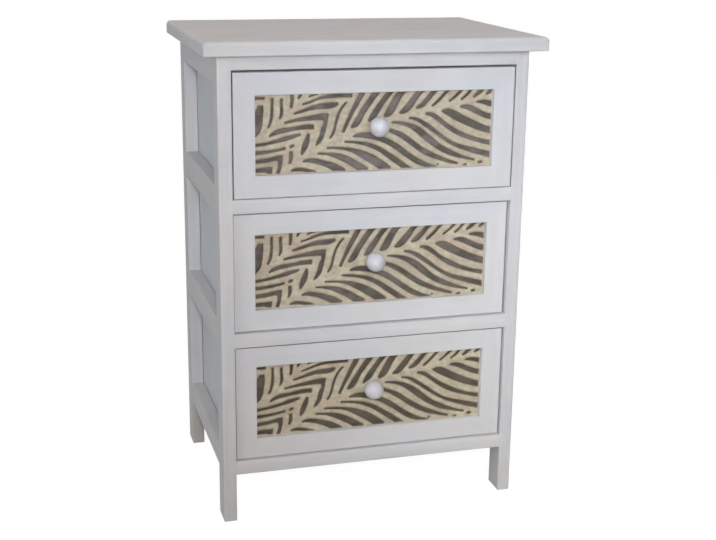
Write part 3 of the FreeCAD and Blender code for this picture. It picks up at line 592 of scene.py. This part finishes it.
def finer(outline, step):
    """A closed outline with points no farther apart than a step, and its own corners kept."""
    rows = []
    for start, end in zip(outline, np.roll(outline, -1, axis=0)):
        parts = max(1, math.ceil(np.linalg.norm(end - start) / step))
        rows.append(start + (end - start) * np.arange(parts)[:, None] / parts)
    return np.concatenate(rows)


def wood_side(outline):
    """Unit vectors from each point of an outline into the wood, square to its neighbours' chord."""
    chord = np.roll(outline, -1, axis=0) - np.roll(outline, 1, axis=0)
    aside = np.column_stack((-chord[:, 1], chord[:, 0]))
    return aside / np.maximum(np.linalg.norm(aside, axis=1, keepdims=True), 1e-9)


class Wood:
    """Tells how far a place of a pierced panel lies from its nearest edge, and on which side."""

    def __init__(self, outlines):
        samples = [finer(outline, SAMPLE_STEP) for outline in outlines]
        self.points = np.concatenate(samples)
        self.sides = np.concatenate([wood_side(sample) for sample in samples])
        self.tree = kdtree.KDTree(len(self.points))
        for number, (across, up) in enumerate(self.points):
            self.tree.insert((across, up, 0), number)
        self.tree.balance()

    def depth(self, place):
        """Distance to the nearest edge in millimetres, below zero in a slot or off the panel."""
        _, number, distance = self.tree.find((*place, 0))
        inside = np.dot(np.asarray(place) - self.points[number], self.sides[number]) >= 0
        return distance if inside else -distance

    def toast_and_shade(self, place):
        """Toasting and painted shadow between 0 and 1: toasting beside a slot, and painted shadow
        added above it, so the mark is wider and darker above a slot than beside or below it.

        With d the distance to the nearest edge in millimetres, and u the upward share of the way
        from that edge into the wood, not below 0: (0.8 + 0.2 u) (1 - d / (1.3 + 1.1 u))^1.2, and
        none where the second bracket would be below zero.
        """
        _, number, distance = self.tree.find((*place, 0))
        upward = max(0.0, self.sides[number][1])
        level, width = (beside + above * upward for beside, above in (TOAST_AND_SHADE_LEVEL, TOAST_AND_SHADE_WIDTH))
        return level * max(0.0, 1 - distance / width) ** TOAST_AND_SHADE_POWER


def outline_edges(outlines):
    """Pairs of points that follow each other along closed outlines, numbered through them all."""
    edges = []
    start = 0
    for outline in outlines:
        count = len(outline)
        edges += [(start + i, start + (i + 1) % count) for i in range(count)]
        start += count
    return edges


def triangulated(outlines, extra, wood):
    """Points, and the triangles between them that lie in the wood."""
    points = np.concatenate([*outlines, extra]) if len(extra) else np.concatenate(outlines)
    placed, _, faces, origins, _, _ = delaunay_2d_cdt(
        [Vector(point) for point in points], outline_edges(outlines), [], 0, MERGE_DISTANCE)
    if len(placed) != len(points):
        raise ValueError("the outlines cross or touch")
    back = [origin[0] for origin in origins]
    kept = []
    for face in faces:
        corners = [back[i] for i in face]
        if wood.depth(points[corners].mean(axis=0)) > 0:
            kept.append(corners)
    return points, kept


def points_between(outlines, low, high, wood):
    """Rings of points beside the slots, and a grid of points in the wider wood of a box."""
    extra = []
    for distance in RING_DISTANCES:
        for outline in outlines:
            ring = outline + distance * wood_side(outline)
            extra += [place for place in ring if wood.depth(place) > RING_CLEARANCE * distance]
    for across in np.arange(low.x / MM + GRID_MARGIN, high.x / MM - GRID_MARGIN, GRID_STEP):
        for up in np.arange(low.z / MM + GRID_MARGIN, high.z / MM - GRID_MARGIN, GRID_STEP):
            if wood.depth((across, up)) > GRID_DISTANCE:
                extra.append(np.array((across, up)))
    return np.array(extra)


def fretwork_mesh(node):
    """The pierced panel with its slots' front edges rounded, and a measure of toasting with painted
    shadow above the slots.

    With d the distance to the nearest slot edge in millimetres, the front face falls back by
    0.3 (1 - d/0.9)^2 mm, and not at all where the bracket would be below zero. Slot walls are
    fully toasted.
    """
    low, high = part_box(node)
    outlines = [finer(outline, OUTLINE_STEP) for outline in front_outlines(node)]
    wood = Wood(outlines)
    points, faces = triangulated(outlines, points_between(outlines, low, high, wood), wood)
    edge_points = sum(len(outline) for outline in outlines)
    gap = np.array([0.0] * edge_points + [wood.depth(place) for place in points[edge_points:]])
    fall = EDGE_FALL * np.clip(1 - gap / EDGE_WIDTH, 0, 1) ** 2
    # Toasting beside each slot, with painted shadow added above it
    toast_and_shade = [wood.toast_and_shade(place) for place in points]

    back_points, back_faces = triangulated(outlines, [], wood)
    first_back = len(points)
    verts = np.concatenate((
        np.column_stack((points[:, 0] * MM, low.y + fall * MM, points[:, 1] * MM)),
        np.column_stack((back_points[:, 0] * MM, np.full(edge_points, high.y),
                         back_points[:, 1] * MM))))
    polygons = list(faces)
    polygons += [[first_back + i for i in reversed(face)] for face in back_faces]
    polygons += [[near, first_back + near, first_back + far, far]
                 for near, far in outline_edges(outlines)]
    mesh = bpy.data.meshes.new(node)
    mesh.from_pydata(verts.tolist(), [], polygons)
    store(mesh, "toast_and_shade", np.concatenate((toast_and_shade, np.ones(edge_points))))
    mesh.shade_smooth()
    return mesh


for node, slot in SLOT_OF.items():
    if slot == "white_paint":
        coat(node, PAINT[grain_axis(node)])
    elif slot == "plain_wood":
        coat(node, WOOD[grain_axis(node)])
    elif slot == "steel":
        coat(node, METAL)
coat("back_panel", PAINT["panel"])
for level in LEVELS:
    coat(f"{level}_drawer_knob", KNOB)
    coat(f"{level}_drawer_backing", BACKING[level])
    add_eased_front(level)
    add_piece(f"{level}_drawer_fretwork", fretwork_mesh(f"{level}_drawer_fretwork"), FRETWORK)
for side in SIDES:
    add_sunk_panel(side)
add_eased_frame()
for node, slot in SLOT_OF.items():
    if slot == "plain_wood" and node != "frame_dowels":
        mesh = eased(node, BARE_WOOD_EASE, lambda start, end: True)
        add_piece(node, mesh, WOOD[grain_axis(node)])


def seen_share(tree):
    """1 for rays that show the surroundings to the camera, straight or by a mirror or glass."""
    path = tree.nodes.new("ShaderNodeLightPath")
    total = path.outputs["Is Camera Ray"]
    for kind in ("Is Glossy Ray", "Is Transmission Ray"):
        larger = tree.nodes.new("ShaderNodeMath")
        larger.operation = "MAXIMUM"
        tree.links.new(total, larger.inputs[0])
        tree.links.new(path.outputs[kind], larger.inputs[1])
        total = larger.outputs[0]
    return total


def add_floor():
    """A floor that is seen and mirrored as white, and keeps a faint shadow."""
    bpy.ops.mesh.primitive_plane_add(size=FLOOR_SIZE)
    floor = bpy.context.object
    floor.name = "floor"
    finish = Finish("pale_floor")
    finish.set(Base_Color=FLOOR_PAINT, Roughness=0.9)
    white = finish.node("ShaderNodeEmission", Color=WHITE, Strength=FLOOR_WHITE_STRENGTH)
    share = finish.math("MULTIPLY", seen_share(finish.tree), FLOOR_WHITE_SHARE)
    blend = finish.node("ShaderNodeMixShader")
    finish.feed_in_order(blend, (0, 1, 2), (share, finish.shader.outputs[0], white.outputs[0]))
    output = finish.tree.nodes["Material Output"]
    finish.feed(output.inputs["Surface"], blend.outputs[0])
    floor.data.materials.append(finish.material)


def set_world():
    """An even soft sky, seen as plain white."""
    world = bpy.data.worlds.new("studio")
    world.use_nodes = True
    bpy.context.scene.world = world
    tree = world.node_tree
    shown = tree.nodes.new("ShaderNodeMix")
    shown.data_type = "RGBA"
    share, first, second = (shown.inputs[socket] for socket in COLOUR_INPUTS)
    first.default_value = (*SKY, 1)
    second.default_value = (*WHITE, 1)
    tree.links.new(seen_share(tree), share)
    tree.links.new(shown.outputs[COLOUR_OUTPUT], tree.nodes["Background"].inputs["Color"])


def add_lamp(name, place, target, size, watts, colour, spread):
    """A square soft lamp at a place, aimed at a target, with a spread in degrees."""
    light = bpy.data.lights.new(name, "AREA")
    light.size = size
    light.energy = watts
    light.color = colour
    light.spread = math.radians(spread)
    lamp = bpy.data.objects.new(name, light)
    lamp.location = place
    aim = Vector(target) - Vector(place)
    lamp.rotation_euler = aim.to_track_quat("-Z", "Y").to_euler()
    bpy.context.scene.collection.objects.link(lamp)


def add_camera():
    """The photograph's view of the chest."""
    yaw, down, roll = (math.radians(turn) for turn in (CAMERA_YAW, CAMERA_DOWN, CAMERA_ROLL))
    forward = Vector((math.sin(yaw) * math.cos(down), math.cos(yaw) * math.cos(down),
                      -math.sin(down)))
    level = Vector((math.cos(yaw), -math.sin(yaw), 0))
    sunk = forward.cross(level)
    right = level * math.cos(roll) + sunk * math.sin(roll)
    below = sunk * math.cos(roll) - level * math.sin(roll)
    camera = bpy.data.objects.new("camera", bpy.data.cameras.new("camera"))
    turned = Matrix((right, -below, -forward)).transposed()
    camera.matrix_world = Matrix.Translation(CAMERA_PLACE) @ turned.to_4x4()
    camera.data.lens = CAMERA_LENS
    camera.data.sensor_width = CAMERA_SENSOR
    camera.data.sensor_fit = "HORIZONTAL"
    bpy.context.scene.collection.objects.link(camera)
    bpy.context.scene.camera = camera


add_camera()
add_floor()
set_world()
for lamp in LAMPS:
    add_lamp(*lamp)
bpy.context.scene.view_settings.view_transform = "Standard"
